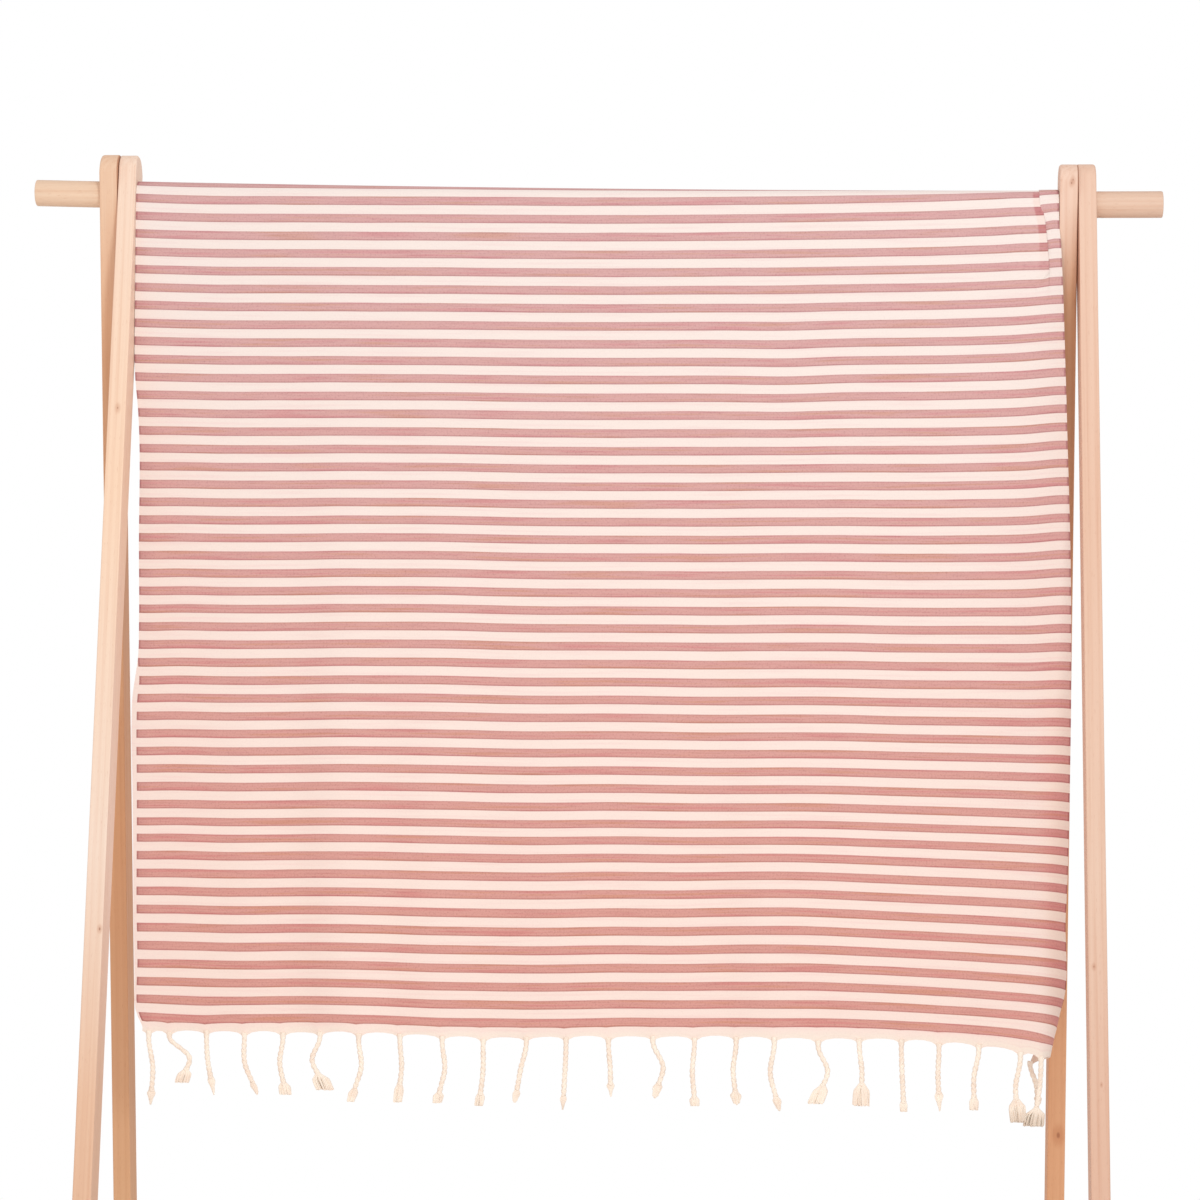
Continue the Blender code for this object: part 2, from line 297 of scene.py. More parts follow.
# bare planed pine
woodLook = {
    "line": tone(228, 196, 176), "pore": tone(214, 178, 156),
    "knot": tone(150, 88, 62), "gapShade": tone(206, 170, 152),
    "roughness": (0.50, 0.64), "specular": 0.3, "ringsPerMetre": 210,
    # its noises: scale across, across and along the grain, detail and roughness
    "wander": ((9, 9, 1.6), 2.0, 0.5), "streak": ((260, 260, 3.0), 3.0, 0.6),
    "broad": ((42, 42, 1.7), 2.0, 0.5), "fleck": ((1000, 1000, 110), 2.0, 0.5),
    "ringWander": 0.022, "toneWander": 0.2,
    # where each sets in, and how strongly it shows
    "ringRise": (0.2, 0.9), "ringFall": (0.9, 1.0), "ringShare": 0.12,
    "streakFrom": (0.45, 0.8), "streakShare": 0.32, "roughFrom": (0.3, 0.75),
    "fleckFrom": (0.6, 0.75), "fleckShare": 0.3, "gapShadeShare": 0.75,
    # a knot is flattened across and along the grain, and has a dark middle in a paler halo
    "knotFlat": (1, 0.3, 0.55), "knotUneven": 0.12, "knotCore": 0.2, "knotShare": 0.6,
    "haloShare": 0.4, "haloRadii": 4,
    # painted shade in the gap against the pair's other leg: from how far off the board's middle, and
    # below which height under the rail
    "gapShadeEdge": (0.0086, 0.0096), "gapShadeTop": (-0.16, -0.08),
    "streakHeight": 0.7, "ringHeight": -0.3, "bump": (0.2, 0.0003),
}


def woodFinish(name, centre, turn, seed, tones, pith=(-0.03, 0.06), knots=(), gapShade=None):
    # grain runs along the turned board's own Z; tones are (Z, colour) from its low end up, and knots
    # are places on the board with a radius; the side given, -1 or 1, gets painted shade in the gap by
    # its pair
    look = woodLook
    finish = Finish(name, look["roughness"][0], specular=look["specular"])
    place = finish.node("ShaderNodeMapping", {
        "Vector": finish.ownPlace(), "Location": centre, "Rotation": turn}, vector_type="TEXTURE")
    shifted = finish.vector("ADD", place, (0, 0, seed))
    side, height = finish.axis(shifted, 0), finish.axis(place, 2)
    wander, streak, broad, fleck = (finish.noise(shifted, *look[name])
                                    for name in ("wander", "streak", "broad", "fleck"))
    # year rings round the pith
    drift = finish.times(finish.minus(wander, 0.5), look["ringWander"])
    across = finish.plus(side, pith[0], drift)
    deep = finish.plus(finish.axis(shifted, 1), pith[1], drift)
    fromPith = finish.maths("SQRT", finish.plus(finish.times(across, across), finish.times(deep, deep)))
    ringTurn = finish.maths("FRACT", finish.times(fromPith, look["ringsPerMetre"]))
    ring = finish.times(finish.span(ringTurn, *look["ringRise"]),
                        finish.span(ringTurn, *look["ringFall"], 1.0, 0.0))
    # the board's tone by its height; on the legs it darkens lower down as painted shade
    wavy = finish.plus(height, finish.times(finish.minus(broad, 0.5), look["toneWander"]))
    low, high = tones[0][0], tones[-1][0]
    ramp = finish.tree.nodes.new("ShaderNodeValToRGB")
    finish.put(ramp.inputs[0], finish.span(wavy, low, high, smooth=False))
    for step, (z, stopTone) in enumerate(tones):
        stop = ramp.color_ramp.elements[step] if step < 2 else ramp.color_ramp.elements.new(1.0)
        stop.position = (z - low) / (high - low)
        stop.color = stopTone
    grain = finish.plus(finish.times(ring, look["ringShare"]),
                        finish.span(streak, *look["streakFrom"], 0.0, look["streakShare"]))
    pores = finish.span(fleck, *look["fleckFrom"], 0.0, look["fleckShare"])
    colour = finish.tint(grain, ramp.outputs[0], look["line"])
    colour = finish.tint(pores, colour, look["pore"])
    for x, y, z, radius in knots:
        away = finish.vector("MULTIPLY", finish.vector("SUBTRACT", place, (x, y, z)), look["knotFlat"])
        length = finish.node("ShaderNodeVectorMath", {0: away}, output=1, operation="LENGTH")
        length = finish.plus(length, finish.times(drift, look["knotUneven"]))
        core = finish.span(length, radius * look["knotCore"], radius, look["knotShare"], 0.0)
        halo = finish.span(length, radius, radius * look["haloRadii"], look["haloShare"], 0.0)
        colour = finish.tint(halo, finish.blend(core, colour, look["knot"]), look["pore"])
    # painted shade on the side faces towards the pair's other leg, near the top
    if gapShade:
        inGapShade = finish.span(finish.times(side, gapShade), *look["gapShadeEdge"], 0.0, look["gapShadeShare"])
        inGapShade = finish.times(inGapShade, finish.span(height, *look["gapShadeTop"]))
        colour = finish.tint(inGapShade, colour, look["gapShade"])
    finish.colour(colour)
    finish.put(finish.shader.inputs["Roughness"],
               finish.span(streak, *look["roughFrom"], *look["roughness"]))
    raised = finish.plus(finish.times(streak, look["streakHeight"]),
                         finish.times(ring, look["ringHeight"]))
    finish.bump(raised, *look["bump"])
    return finish.material


railShape = {
    "height": 1.398, "length": 1.220, "radius": 0.01425, "sides": 48, "endEase": 0.0015, "easeSteps": 4,
    "fall": 0.0113, "sag": 0.003, "halfSpan": 0.518,   # a drop per metre towards +X, and the load's sag
    "stations": 28, "firstStation": 0.02, "seed": 3.1, "pith": (0.05, 0.02),
    "tones": [(-0.6, tone(238, 211, 185)), (0.0, tone(236, 204, 178)), (0.6, tone(227, 197, 176))],
}


def railZ(x):
    shape = railShape
    return shape["height"] - shape["fall"] * x + shape["sag"] * ((x / shape["halfSpan"]) ** 2 - 1)


def makeRail():
    shape = railShape
    half = shape["length"] / 2
    clearSelection()
    bpy.ops.mesh.primitive_cylinder_add(vertices=shape["sides"], radius=shape["radius"],
                                        depth=shape["length"], location=(0, 0, 0),
                                        rotation=(0, math.pi / 2, 0))
    rail = newPiece("towelRail")
    mesh = editMode(rail)
    selectEdges(rail, mesh, lambda edge: all(abs(abs(vert.co.x) - half) < tiny for vert in edge.verts))
    bpy.ops.mesh.bevel(offset=shape["endEase"], segments=shape["easeSteps"], affect="EDGES")
    reach = half - shape["firstStation"]
    for x in np.linspace(-reach, reach, shape["stations"]):
        bpy.ops.mesh.select_all(action="SELECT")
        bpy.ops.mesh.bisect(plane_co=(x, 0, 0), plane_no=(1, 0, 0))
    mesh = bmesh.from_edit_mesh(rail.data)
    for vert in mesh.verts:      # laid on its frames: it falls to the right and sags a little
        vert.co.z += railZ(vert.co.x)
    bmesh.update_edit_mesh(rail.data)
    smoothPiece(rail, hardEdge)
    wood = woodFinish("railWood", (0, 0, shape["height"]), (0, math.pi / 2, 0), shape["seed"],
                      shape["tones"], pith=shape["pith"])
    rail.data.materials.append(wood)
    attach(rail, "root")
    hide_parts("rail")


legShape = {
    "thick": 0.0193, "wide": 0.040, "aboveRail": 0.0430,
    "topRound": 0.0197, "topSteps": 12, "topEase": 0.0034, "easeSteps": 4, "edge": 0.0010,
    "bore": 0.01465, "boreSides": 64, "drillLength": 0.05,
}
legs = [
    # a splay above nought takes the foot to the back; gapSide faces the pair's other leg; longer is
    # for the top; tones go by the height against the rail, knots by place and radius
    # their tones darken lower down as painted shade, most on the back legs, in the shadow of the cloth
    # and the front leg
    {"name": "legLeftFront", "node": "leg_left_front", "x": -0.50775, "splay": -8.9, "gapSide": -1,
     "seed": 0.0, "longer": 0.0010,
     "tones": [(-1.2, tone(220, 182, 153)), (-0.97, tone(226, 190, 163)), (-0.73, tone(239, 219, 203)),
               (-0.33, tone(243, 214, 188)), (0.0, tone(244, 220, 201))],
     "knots": [(0.001, -0.02, -0.245, 0.0012), (0.0065, -0.02, -0.805, 0.0009)]},
    {"name": "legLeftBack", "node": "leg_left_back", "x": -0.52765, "splay": 8.9, "gapSide": 1,
     "seed": 5.3, "longer": 0.0,
     "tones": [(-1.2, tone(218, 173, 133)), (-0.95, tone(220, 173, 134)), (-0.70, tone(230, 179, 136)),
               (-0.20, tone(229, 184, 147)), (-0.05, tone(235, 199, 169)), (0.0, tone(234, 201, 173))],
     "knots": [(0.004, -0.02, -1.16, 0.002)]},
    {"name": "legRightBack", "node": "leg_right_back", "x": 0.50865, "splay": 10.2, "gapSide": 1,
     "seed": 11.7, "longer": 0.0,
     "tones": [(-1.2, tone(224, 172, 132)), (-0.50, tone(221, 166, 126)), (-0.12, tone(219, 168, 131)),
               (-0.05, tone(231, 196, 174)), (0.0, tone(234, 203, 184))],
     "knots": [(0.0025, -0.02, 0.0235, 0.0010), (0.0042, -0.02, 0.0270, 0.0010),
               (0.002, -0.02, -1.02, 0.0024)]},
    {"name": "legRightFront", "node": "leg_right_front", "x": 0.52855, "splay": -10.2, "gapSide": -1,
     "seed": 17.9, "longer": 0.0015,
     "tones": [(-1.2, tone(215, 176, 153)), (-0.97, tone(219, 182, 160)), (-0.73, tone(226, 196, 176)),
               (-0.33, tone(225, 188, 165)), (0.0, tone(230, 197, 176))],
     "knots": [(-0.004, -0.02, -0.825, 0.0008), (0.002, -0.02, -0.945, 0.0006)]},
]


def makeLeg(leg):
    shape = legShape
    axis = railZ(leg["x"])
    splay = math.radians(leg["splay"])
    below = axis / math.cos(splay) + shape["wide"]
    above = shape["aboveRail"] + leg["longer"]
    length = above + below
    clearSelection()
    bpy.ops.mesh.primitive_cube_add(size=1, location=(leg["x"], 0, axis + above - length / 2),
                                    scale=(shape["thick"], shape["wide"], length))
    piece = newPiece(leg["name"])
    mesh = editMode(piece)
    selectEdges(piece, mesh, lambda edge: all(vert.co.z > axis for vert in edge.verts)
                and abs(edge.verts[0].co.y - edge.verts[1].co.y) < tiny)
    bpy.ops.mesh.bevel(offset=shape["topRound"], segments=shape["topSteps"], affect="EDGES")
    # the arrises: well eased round the top, less down the board
    mesh = bmesh.from_edit_mesh(piece.data)
    weights = (mesh.edges.layers.float.get("bevel_weight_edge")
               or mesh.edges.layers.float.new("bevel_weight_edge"))
    roundStart = axis + above - shape["topRound"]
    low = shape["edge"] / shape["topEase"]
    for edge in mesh.edges:
        onSide = [abs(face.normal.x) > 0.9 for face in edge.link_faces]
        if len(onSide) == 2 and onSide[0] != onSide[1]:
            middle = (edge.verts[0].co + edge.verts[1].co) / 2
            inGap = (middle.x - leg["x"]) * leg["gapSide"] > 0
            roundOff = ease((middle.z - roundStart) / shape["topRound"])
            edge[weights] = low if inGap else low + (1 - low) * roundOff
    bmesh.update_edit_mesh(piece.data)
    modify(piece, "BEVEL", width=shape["topEase"], segments=shape["easeSteps"], limit_method="WEIGHT")
    # the bore that the rail lies in, turned with its fall there
    step = 0.01
    slope = (railZ(leg["x"] + step) - railZ(leg["x"] - step)) / (2 * step)
    clearSelection()
    bpy.ops.mesh.primitive_cylinder_add(vertices=shape["boreSides"], radius=shape["bore"],
                                        depth=shape["drillLength"], location=(leg["x"], 0, axis),
                                        rotation=(0, math.pi / 2 - math.atan(slope), 0))
    drill = newPiece("drill")
    modify(piece, "BOOLEAN", object=drill, operation="DIFFERENCE", solver="EXACT")
    bpy.data.objects.remove(drill, do_unlink=True)
    # splayed about the rail, and the foot cut level
    editMode(piece)
    bpy.ops.mesh.select_all(action="SELECT")
    bpy.ops.transform.rotate(value=-splay, orient_axis="X", center_override=(leg["x"], 0, axis))
    bpy.ops.mesh.bisect(plane_co=(0, 0, 0), plane_no=(0, 0, 1), clear_inner=True, use_fill=True)
    smoothPiece(piece, hardEdge)
    modify(piece, "WEIGHTED_NORMAL", keep_sharp=True)
    wood = woodFinish(leg["name"] + "Wood", (leg["x"], 0, axis), (splay, 0, 0), leg["seed"],
                      leg["tones"], knots=leg["knots"], gapShade=leg["gapSide"])
    piece.data.materials.append(wood)
    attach(piece, "root")
    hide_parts(leg["node"])


towel = {
    "thickness": 0.0006, "offRail": 0.0003, "frontDrop": 0.900, "backDrop": 0.689, "hardEdge": 60,
    # depth below the rail, and the X of the front sheet's two edges there, before the right one curls
    "edges": [(0, -0.498, 0.4985), (0.02, -0.498, 0.4986), (0.03, -0.498, 0.4992),
              (0.04, -0.498, 0.5004), (0.06, -0.4979, 0.5014), (0.085, -0.4978, 0.5026),
              (0.14, -0.4976, 0.5044), (0.184, -0.4972, 0.5057), (0.205, -0.496, 0.5064),
              (0.225, -0.4938, 0.5069), (0.39, -0.49, 0.5112), (0.468, -0.489, 0.512),
              (0.504, -0.4896, 0.5122), (0.524, -0.4922, 0.5123), (0.544, -0.495, 0.5124),
              (0.575, -0.4958, 0.5124), (0.64, -0.4941, 0.5126), (0.703, -0.4926, 0.5128),
              (0.77, -0.4914, 0.5134), (0.832, -0.4895, 0.518), (0.853, -0.489, 0.5208),
              (0.866, -0.4888, 0.5236), (0.876, -0.4888, 0.5266), (0.886, -0.4864, 0.5278),
              (0.9, -0.4796, 0.5288)],
    # the same for the back sheet
    "backEdges": [(0, -0.497, 0.4974), (0.15, -0.4968, 0.4974), (0.25, -0.4944, 0.4974),
                  (0.4, -0.4915, 0.4974), (0.69, -0.488, 0.4972)],
    # how far round the right edge has curled to the back, by depth, in radians
    "curl": [(0.44, 0), (0.64, 0.45), (0.76, 0.8), (0.86, 1.5), (0.92, 3.5)],
    "curlWidth": 0.055,
    # the front hem's depth below the rail's nominal height, by place across
    "hem": [(0, 0.8985), (0.1, 0.8991), (0.135, 0.8985), (0.172, 0.8994), (0.22, 0.8974),
            (0.27, 0.8988), (0.345, 0.9014), (0.39, 0.902), (0.48, 0.8991), (0.53, 0.8994),
            (0.62, 0.8978), (0.71, 0.899), (0.82, 0.8991), (0.88, 0.903), (0.92, 0.9076),
            (0.955, 0.914), (1, 0.923)],
    # waves across, height at the hem, phase
    "frontFolds": [(4.5, 0.0018, 0.6), (8.7, 0.0022, 2.1), (11.3, 0.0012, 4.4)],
    "backFolds": [(3.2, 0.0025, 1.2), (7.1, 0.0018, 3.0)],
    # how far the sheet swings out at the hem, and over which part across
    "leftSwing": (0.012, 0.3), "rightSwing": (0.006, 0.6, 0.3), "backSwing": 0.004,
}
# a pleat laid over at the top right, which opens out further down
pleat = {
    # its fold's X by the depth below the rail
    "fold": [(0, 0.4797), (0.0115, 0.4825), (0.026, 0.4849), (0.037, 0.4858), (0.046, 0.4868),
             (0.066, 0.4881), (0.11, 0.4885)],
    "take": 0.0062, "lift": 0.0010, "round": 0.0004,
    "reach": 0.12, "backReach": 0.2,     # how far down it runs on each side
    # on the rail it takes up less and lies the other way; from where down each changes
    "takeOnRail": 0.35, "takeFrom": 0.010, "overFrom": 0.004, "change": 0.016,
    # the columns past from are crowded on to its two turns, until it has all but opened out
    "from": 0.945, "turns": (0.958, 0.966, 0.974, 0.982), "turnWidth": 0.0012, "turnShare": 0.4,
    "goneBelow": 0.002, "columns": 25,
    "liftFrom": 0.06, "liftOver": 0.05,     # how far left of the fold the front part lifts
}
# bands of weft in two colours, which hang a little askew: the first and the last are given
stripes = {
    "pitch": 0.01917, "roseShare": 0.485, "bands": 47,
    "first": [(0, -0.0004), (0.05, 0.0016), (0.18, 0.0029), (0.4, 0.0041), (0.56, 0.0044),
              (0.68, 0.0034), (0.8, 0.0016), (0.88, -0.0003), (0.96, -0.0034), (1, -0.0054)],
    "last": [(0, 0.8831), (0.09, 0.8852), (0.22, 0.8841), (0.32, 0.8877), (0.43, 0.8876),
             (0.52, 0.8856), (0.65, 0.8838), (0.78, 0.8832), (0.86, 0.8864), (0.9, 0.8888),
             (0.94, 0.8932), (1, 0.9062)],
    # band, and how far below an even spacing it was woven
    "uneven": [(1, 0), (5, 0.0005), (9, 0.0015), (13, 0.0021), (26, 0.0022), (30, 0.0026),
               (33, 0.0018), (36, 0.0013), (37, -0.0003), (39, -0.0005), (45, 0.0009), (47, 0.0002)],
    # across, depth, reach across, reach down, how far the bands dip there
    "dips": [(0.33, 0.56, 0.1, 0.36, -0.0038), (0.5, 0.68, 0.09, 0.28, -0.0024),
             (0.7, 0.19, 0.05, 0.08, 0.0018), (0.68, 0.77, 0.08, 0.1, -0.0028),
             (0.81, 0.5, 0.06, 0.22, 0.001), (0.0, 0.52, 0.035, 0.34, 0.0026),
             (1.0, 0.42, 0.035, 0.34, -0.0056), (1.0, 0.55, 0.07, 0.5, -0.0042),
             (1.0, 0.8, 0.05, 0.12, -0.002), (0.995, 0.034, 0.01, 0.022, -0.0024),
             (0.99, 0.897, 0.045, 0.014, 0.0058), (0.045, 0.883, 0.03, 0.02, 0.0016),
             (0.075, 0.883, 0.02, 0.02, 0.0012)],
}
# how the hem is drawn down to each tassel's root
scallop = {
    "pull": 0.0066, "vary": 0.0014, "varyTurn": 2.3, "width": 0.0052, "power": 1.2,
    "gather": 0.0010, "gatherWidth": 0.004, "height": 0.014,
}
# twisted tassels from left to right, in millimetres: root along the hem, drift to the right at half
# length and at the end, drop, width of the tuft, the knot's place down the drop (0 for none), and how
# wide the tuft's end is against its middle
tassels = [
    (7, 5, 3, 80, 8, .78, .3), (29, 22, 14, 54, 14, .74, 1), (69, 2, 9, 69, 7, .70, .3),
    (110, 1, 15, 66, 6, 0, .5), (151, -3, 4, 66, 12, .80, 1), (191, -8, 7, 62, 18, .72, 1),
    (234, 3, -8, 72, 9, 0, .8), (277, 2, -2, 73, 9, .72, .95), (322, 3, -5, 71, 10, .84, .9),
    (365, 0, -4, 71, 9, .80, .95), (411, -6, -12, 70, 7, 0, .6), (454, -1, -3, 77, 6, 0, .3),
    (499, 2, 3, 63, 7, .75, .25), (546, 11, 2, 66, 9, .75, .6), (590, -2, 1, 72, 10, .86, .8),
    (634, -3, 1, 72, 11, .80, .6), (674, -4, 6, 78, 8, 0, .5), (720, 10, -3, 67, 15, .70, 1.1),
    (763, 3, 2, 71, 16, .66, 1.1), (807, 1, 3, 76, 7, .85, .9), (846, -1, 1, 72, 8, .70, .3),
    (887, -5, -5, 69, 9, .80, .9), (930, -5, -2, 74, 17, .66, .9), (952, -2, -8, 74, 19, .74, 1.1),
    (999, 6, 9, 46, 7, 0, .6),
]
roots = [tassel[0] / 1000 for tassel in tassels]

hangRadius = railShape["radius"] + towel["offRail"] + towel["thickness"] / 2
leftEdge, rightEdge = smoothLine(towel["edges"], 1), smoothLine(towel["edges"], 2)
backLeft, backRight = smoothLine(towel["backEdges"], 1), smoothLine(towel["backEdges"], 2)
curlTurn, hemDepth = smoothLine(towel["curl"]), smoothLine(towel["hem"])
firstBand, lastBand = smoothLine(stripes["first"]), smoothLine(stripes["last"])
unevenBy = smoothLine(stripes["uneven"])
foldLine = smoothLine(pleat["fold"])


def foldSum(waves, across):
    return sum(height * math.sin(2 * math.pi * count * across + phase)
               for count, height, phase in waves)


def pleatPlace(column, left, right, below, onBack=False):
    # X of a column, and how many layers it lies off the rail's side: on the front the left part comes
    # over the fold and turns back under itself; on the rail the right part is the higher one
    change = pleat["change"]
    take = pleat["take"] * (1 - ease(below / pleat["backReach" if onBack else "reach"]))
    take *= pleat["takeOnRail"] + (1 - pleat["takeOnRail"]) * ease((below - pleat["takeFrom"]) / change)
    width = right - left + 2 * take
    along = column * width
    if take < tiny:
        return left + along, 0.0
    near = min(1.0, take / pleat["goneBelow"])
    firstTurn = foldLine(0 if onBack else below) - left
    secondTurn = firstTurn + take
    tight = min(pleat["turnWidth"], pleat["turnShare"] * take)
    if column > pleat["from"]:
        crowded = np.interp(column, [pleat["from"], *pleat["turns"], 1.0],
                            [pleat["from"] * width, firstTurn - tight, firstTurn + tight,
                             secondTurn - tight, secondTurn + tight, width])
        along += near * (float(crowded) - along)
    bend = pleat["round"]
    first, second = along - firstTurn, along - secondTurn
    x = left + along - (first + math.hypot(first, bend)) + (second + math.hypot(second, bend))
    past = 1 + 0.5 * (first / math.hypot(first, 2 * bend) + second / math.hypot(second, 2 * bend))
    onFront = ease((below - pleat["overFrom"]) / change)
    lifted = ease((first + pleat["liftFrom"]) / pleat["liftOver"])
    return x, near * (onFront * (2 - past) * lifted + (1 - onFront) * past * 0.5)


def hemScallop(across, aboveHem):
    # how far a point near the hem is drawn down, and how far gathered off the sheet
    shape = scallop
    if aboveHem > shape["height"]:
        return 0.0, 0.0
    fade = (1 - max(aboveHem, 0) / shape["height"]) ** 2
    nearest = min(range(len(roots)), key=lambda index: abs(across - roots[index]))
    away = abs(across - roots[nearest])
    pull = shape["pull"] + shape["vary"] * math.sin(nearest * shape["varyTurn"])
    return (-pull * math.exp(-(away / shape["width"]) ** shape["power"]) * fade,
            shape["gather"] * math.exp(-(away / shape["gatherWidth"]) ** 2) * fade)


def bandAt(across, depth):
    # which band lies at this depth, the first one's middle being 1
    dip = sum(drop * math.exp(-((across - a) / spread) ** 2 - ((depth - d) / reach) ** 2)
              for a, d, spread, reach, drop in stripes["dips"])
    first, last = firstBand(across), lastBand(across)
    perMetre = (stripes["bands"] - 1) / (last - first)
    even = band = 1 + perMetre * (depth - dip - first)
    for _ in range(3):
        band = even - perMetre * unevenBy(band)
    return band


def frontPlace(column, share):
    # share is 0 at the hem and 1 level with the rail; gives the point and the cloth's length there
    top = railZ(leftEdge(0) + column * (rightEdge(0) - leftEdge(0)))
    hem = railShape["height"] - hemDepth(column)
    z = hem + share * (top - hem)
    below = top - z
    right = rightEdge(below)
    flatX, layers = pleatPlace(column, leftEdge(below), right, below)
    drop, gather = hemScallop(column, z - hem)
    grow = ease(below / towel["frontDrop"])
    y = -hangRadius - foldSum(towel["frontFolds"], column) * grow - layers * pleat["lift"] - gather
    amount, reach = towel["leftSwing"]
    y += amount * grow * (1 - ease(column / reach))
    amount, start, reach = towel["rightSwing"]
    y -= amount * grow * ease((column - start) / reach)
    # the right edge curls to the back
    turn = curlTurn(below)
    past = flatX - (right - towel["curlWidth"])
    x = flatX
    if turn > 0 and past > 0:
        bend = towel["curlWidth"] / turn
        x = right - towel["curlWidth"] + bend * math.sin(past / bend)
        y += bend * (1 - math.cos(past / bend))
    band = bandAt(column, railShape["height"] - z)
    return (x, y, z + drop), band * stripes["pitch"]


def overPlace(column, share):
    # over the rail, from its front at share 0 to its back at 1
    frontX, layers = pleatPlace(column, leftEdge(0), rightEdge(0), 0)
    backX, _ = pleatPlace(column, backLeft(0), backRight(0), 0, onBack=True)
    x = frontX + (backX - frontX) * ease(share)
    angle = math.pi * share
    reach = hangRadius + layers * pleat["lift"]
    start = frontPlace(column, 1)[1]
    return (x, -reach * math.cos(angle), railZ(x) + reach * math.sin(angle)), start - hangRadius * angle


def backPlace(column, share):
    # share is 0 level with the rail and 1 at the back hem
    below = share * towel["backDrop"]
    x, layers = pleatPlace(column, backLeft(below), backRight(below), below, onBack=True)
    z = railZ(x) - below
    drop, gather = hemScallop(1 - column, towel["backDrop"] - below)
    y = hangRadius + layers * pleat["lift"] + gather
    y += (towel["backSwing"] + foldSum(towel["backFolds"], column)) * ease(share)
    start = frontPlace(column, 1)[1] - hangRadius * math.pi
    return (x, y, z + drop), start - below


# where the grid's lines run: the selvedges, the pleat's turns, and close about each tassel's root
gridLines = {
    "edgeColumns": (0.0, 0.0025, 0.9985, 1.0), "aboutRoot": (0.0020, 0.0042, 0.0080),
    "wideGap": 0.03, "leastGap": 0.0011,
    "hemRows": (0, 0.0012, 0.0035, 0.0065, 0.010, 0.014), "nextRow": 0.024,    # a share of the drop
    "frontRows": 84, "railRows": 20, "backRows": 60,
}


def clothColumns():
    lines = gridLines
    places = [*lines["edgeColumns"], *np.linspace(pleat["from"], 1, pleat["columns"])]
    places += roots + [1 - root for root in roots]
    for step in lines["aboutRoot"]:
        places += [root - step for root in roots] + [root + step for root in roots]
    widest = lines["aboutRoot"][-1]
    ordered = sorted(roots)
    for left, right in zip(ordered, ordered[1:]):
        if right - left > lines["wideGap"]:
            places += [left + widest + (right - left - 2 * widest) * part for part in (1 / 3, 2 / 3)]
    kept = []
    for place in sorted(place for place in places if 0 <= place <= 1):
        if not kept or place - kept[-1] > lines["leastGap"]:
            kept.append(float(place))
    kept[-1] = 1.0
    return kept


def clothRows():
    # from the front hem up, over the rail and down to the back hem
    lines = gridLines
    rows = [(frontPlace, step / towel["frontDrop"]) for step in lines["hemRows"]]
    rows += [(frontPlace, share) for share in np.linspace(lines["nextRow"], 1, lines["frontRows"])]
    rows += [(overPlace, share) for share in np.linspace(0, 1, lines["railRows"] + 1)[1:-1]]
    rows += [(backPlace, share) for share in np.linspace(0, 1 - lines["nextRow"], lines["backRows"])]
    rows += [(backPlace, 1 - step / towel["backDrop"]) for step in lines["hemRows"][-2::-1]]
    return rows


clothLook = {
    # the dye and the bare cotton, by the rail and by the hem, where they are painted darker and warmer
    # as shade
    "roseTop": tone(214, 172, 171), "roseLow": tone(216, 161, 152),
    "creamTop": tone(241, 230, 225), "creamLow": tone(245, 227, 219), "hem": tone(244, 232, 221),
    # their tints: along the weft; painted shade by the curled right edge, at the pleat, in its fold and
    # at the bands' dark right ends
    "streakPink": tone(250, 226, 232), "streakTan": tone(248, 240, 220), "shade": tone(218, 200, 204),
    "curlShadeRose": tone(248, 229, 233), "curlShadeCream": tone(252, 247, 242),
    "throughRose": tone(237, 203, 207), "throughCream": tone(254, 247, 244),
    "foldShade": tone(205, 160, 155), "endShade": tone(190, 140, 130),
    # its noises: scale across the sheet and along it, detail and roughness
    "wander": ((16, 60, 1), 2.0, 0.5), "slub": ((22, 620, 1), 3.0, 0.6),
    "patch": ((9, 260, 1), 2.0, 0.5), "fleck": ((520, 520, 1), 2.0, 0.7),
    # noise, where it sets in and is full, how strongly it shows, the tint
    "roseTints": [("patch", 0.52, 0.68, 0.75, "streakPink"), ("patch", 0.48, 0.32, 0.75, "streakTan"),
                  ("slub", 0.45, 0.75, 0.35, "shade"), ("fleck", 0.45, 0.8, 0.6, "shade")],
    "creamTints": [("patch", 0.5, 0.7, 0.25, "streakPink"), ("fleck", 0.45, 0.8, 0.14, "shade")],
    # in bands: their blurred ends, the bare cotton at the hem, and where and how strongly a shade
    # sets in at a band's two edges and at its lower one
    "bandWander": 0.0008, "bandBlur": 0.02, "hemBare": 0.5, "hemTone": (0.32, 0.72),
    "bandEdge": (0.10, 0.02, 0.30), "bandFoot": (0.09, 0.02, 0.45), "backEnd": -0.7075,
    # across: the dark line at both selvedges, and a shade along the left one
    "selvedge": (0.0008, 0.0026), "leftShade": (0.003, 0.022, 0.30),
    # between which lengths the left selvedge's bare strip widens, and by how much
    "bareSteps": [(0.511, 0.542, 0.0054), (0.56, 0.80, -0.0020), (0.84, 0.87, -0.0012)],
    # across and along: the painted shade of the curled edge, of the doubled strip by the pleat, of its
    # fold and of the dark ends
    "curlAcross": (0.955, 0.985), "curlAlong": (0.40, 0.68),
    "doubledAcross": (0.9542, 0.9552), "doubledEnd": 0.9630,
    "doubledAlong": (0.012, 0.022), "doubledFade": (0.050, 0.120),
    "foldAcross": 0.9618, "foldWidth": (0.0008, 0.0024), "foldShare": 0.9,
    "foldAlong": (-0.004, 0.004), "foldFade": (0.030, 0.060),
    "endAcross": (0.9976, 0.9988), "endAlong": (0.835, 0.845),
    "weftRib": 0.00085, "warpRib": 0.0007, "bump": (0.25, 0.00025),
    "weftHeight": 0.35, "warpHeight": 0.2, "slubHeight": 1.2, "fleckHeight": 0.8,
}


